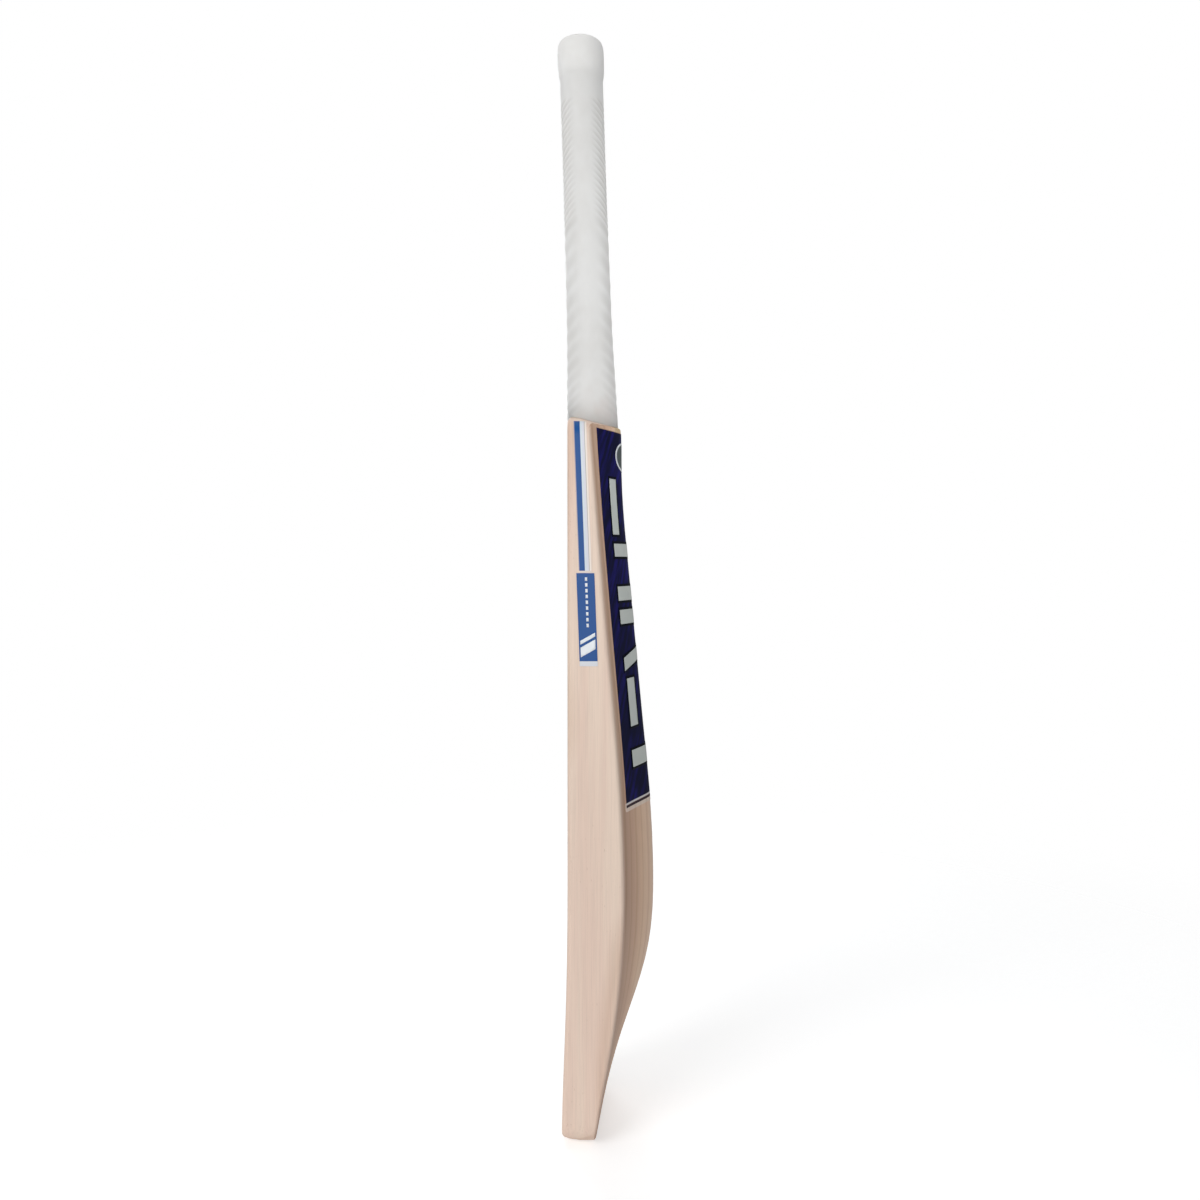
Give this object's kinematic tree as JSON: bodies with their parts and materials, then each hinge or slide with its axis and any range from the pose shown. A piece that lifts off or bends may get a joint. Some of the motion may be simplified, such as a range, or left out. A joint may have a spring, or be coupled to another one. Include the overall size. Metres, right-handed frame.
{
  "type": "cricket bat",
  "caption": "Full-size short-handle cricket bat: a willow blade with a ridged back and thick edges, a laminated cane handle spliced in, twine, a ribbed rubber grip and plain labels.",
  "frame": {"origin": "Bottom centre of the bat's bounding box, with the bat standing on its toe.", "axes": "+Z runs along the bat from the toe up to the top of the handle, X across the width of the blade, and +Y from the playing face to the ridged back. The playing face looks toward -Y."},
  "size_m": [0.108, 0.0763, 0.851],
  "materials": {
    "willow": "satin",
    "cane": "satin",
    "spring_rubber": "matte",
    "twine": "matte",
    "grip_rubber": "matte",
    "label_navy": "gloss",
    "label_blue": "gloss"
  },
  "bodies": {
    "root": {"blade": "willow", "cane_slip_front_left": "cane", "cane_slip_front_centre": "cane", "cane_slip_front_right": "cane", "cane_slip_front_middle_left": "cane", "cane_slip_front_middle_centre": "cane", "cane_slip_front_middle_right": "cane", "cane_slip_back_middle_left": "cane", "cane_slip_back_middle_centre": "cane", "cane_slip_back_middle_right": "cane", "cane_slip_back_left": "cane", "cane_slip_back_centre": "cane", "cane_slip_back_right": "cane", "rubber_spring_front": "spring_rubber", "rubber_spring_middle": "spring_rubber", "rubber_spring_back": "spring_rubber", "handle_twine": "twine", "rubber_grip": "grip_rubber", "back_label": "label_navy", "edge_label_right": "label_blue", "edge_label_left": "label_blue"}
  },
  "joints": []
}
